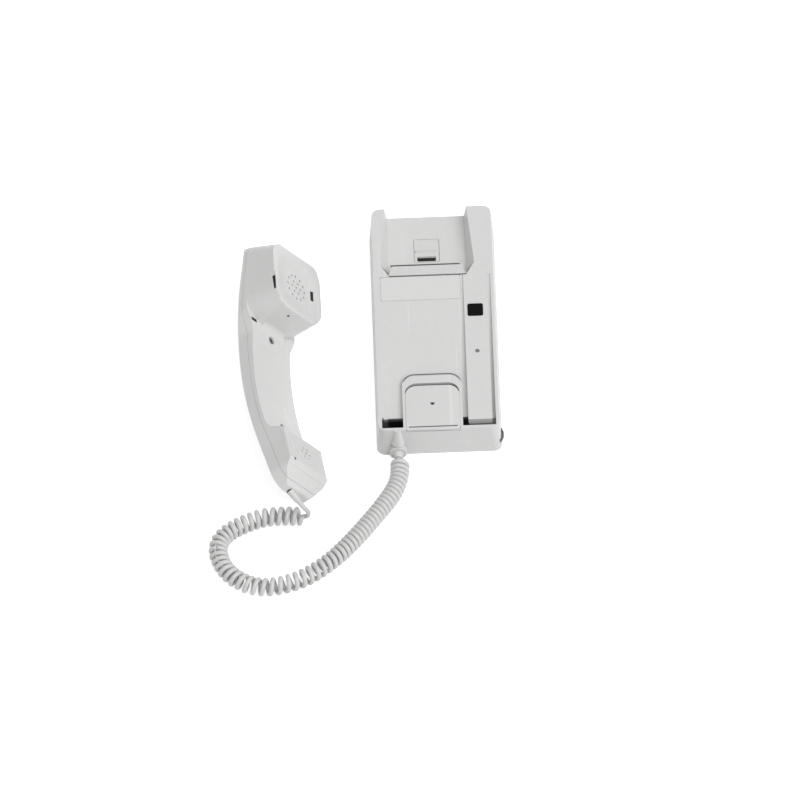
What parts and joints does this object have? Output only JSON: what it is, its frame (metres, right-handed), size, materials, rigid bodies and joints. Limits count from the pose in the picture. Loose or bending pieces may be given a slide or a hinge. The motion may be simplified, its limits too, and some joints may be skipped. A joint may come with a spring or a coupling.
{
  "type": "wall telephone",
  "caption": "Slim wall telephone: cradle base with ear pocket, hook paddle and call button, a banana-shaped handset beside it, and a curly cord.",
  "frame": {"origin": "centre of the base's flat back face, the face that goes against the wall", "axes": "+X to the base's right, +Y towards its top end, +Z out of its front"},
  "size_m": [0.2083, 0.3177, 0.0657],
  "materials": {
    "housing_plastic": "fine satin moulded shell",
    "housing_plastic_tab": "fine satin moulded tab",
    "back_plastic": "matt moulded plate",
    "screw_steel": "zinc plated",
    "label_plastic": "clear cover over blank card",
    "button_plastic": "satin moulded",
    "switch_black": "matt moulded",
    "spring_steel": "drawn wire",
    "clear_plastic": "polished, milky clear",
    "lamp_lens": "tinted lens",
    "paddle_plastic": "fine satin moulded",
    "pin_steel": "ground",
    "plunger_nylon": "natural nylon",
    "board_laminate": "solder mask",
    "component_black": "moulded",
    "block_plastic": "matt moulded",
    "terminal_brass": "turned",
    "wheel_plastic": "notched rim",
    "boot_vinyl": "soft vinyl",
    "lead_insulation": "thin insulation",
    "handset_plastic": "fine satin moulded shell",
    "capsule_metal": "pressed can",
    "gasket_rubber": "foam rubber",
    "weight_iron": "cast",
    "cord_vinyl": "soft vinyl jacket"
  },
  "bodies": {
    "base": {"front_housing": "housing_plastic", "back_plate": "back_plastic", "housing_screws": "screw_steel", "hang_tab": "housing_plastic_tab", "label_plate": "label_plastic", "button_switch": "switch_black", "button_spring": "spring_steel", "light_pipe": "clear_plastic", "indicator_lamp": "lamp_lens", "paddle_pin": "pin_steel", "paddle_spring": "spring_steel", "hook_switch": "switch_black", "circuit_board": "board_laminate", "board_screws": "screw_steel", "board_parts": "component_black", "sounder": "component_black", "terminal_block": "block_plastic", "block_screws": "terminal_brass", "volume_control": "switch_black", "cord_boot": "boot_vinyl", "base_wires": "lead_insulation", "cord_tail_base": "cord_vinyl", "cord_coil": "cord_vinyl", "cord_tail_handset": "cord_vinyl"},
    "handset": {"handset_front_shell": "handset_plastic", "handset_back_shell": "handset_plastic", "ear_cap": "handset_plastic", "mouth_cap": "handset_plastic", "receiver": "capsule_metal", "receiver_ring": "gasket_rubber", "transmitter": "capsule_metal", "transmitter_ring": "gasket_rubber", "handset_weight": "weight_iron", "handset_screws": "screw_steel", "handset_boot": "boot_vinyl", "handset_wires": "lead_insulation"},
    "paddle": {"hook_paddle": "paddle_plastic"},
    "plunger": {"hook_plunger": "plunger_nylon"},
    "button": {"call_button": "button_plastic"},
    "thumbwheel": {"volume_wheel": "wheel_plastic"}
  },
  "joints": [
    {"name": "handset_lift", "type": "slide", "parent": "base", "child": "handset", "axis": [0, 0, 1], "range_m": [0, 0.12]},
    {"name": "paddle_press", "type": "hinge", "parent": "base", "child": "paddle", "pos_m": [-0.004, -0.0905, 0.019], "axis": [-1, 0, 0], "range_deg": [0, 5], "stiffness_Nm_per_rad": 0.1, "springref_deg": -5.73, "deforming": ["paddle_spring"]},
    {"name": "plunger_press", "type": "slide", "parent": "base", "child": "plunger", "axis": [0, 0, -1], "range_m": [0, 0.0024]},
    {"name": "button_press", "type": "slide", "parent": "base", "child": "button", "axis": [0, 0, -1], "range_m": [0, 0.0025], "stiffness_N_per_m": 400, "springref_m": -0.001, "deforming": ["button_spring"]},
    {"name": "volume_turn", "type": "hinge", "parent": "base", "child": "thumbwheel", "pos_m": [0.03845, -0.089, 0.0054], "axis": [0, 0, 1], "range_deg": [-135, 135]}
  ],
  "couplings": [
    {"joint": "plunger_press", "follows": "paddle_press", "m_per_rad": 0.027}
  ]
}
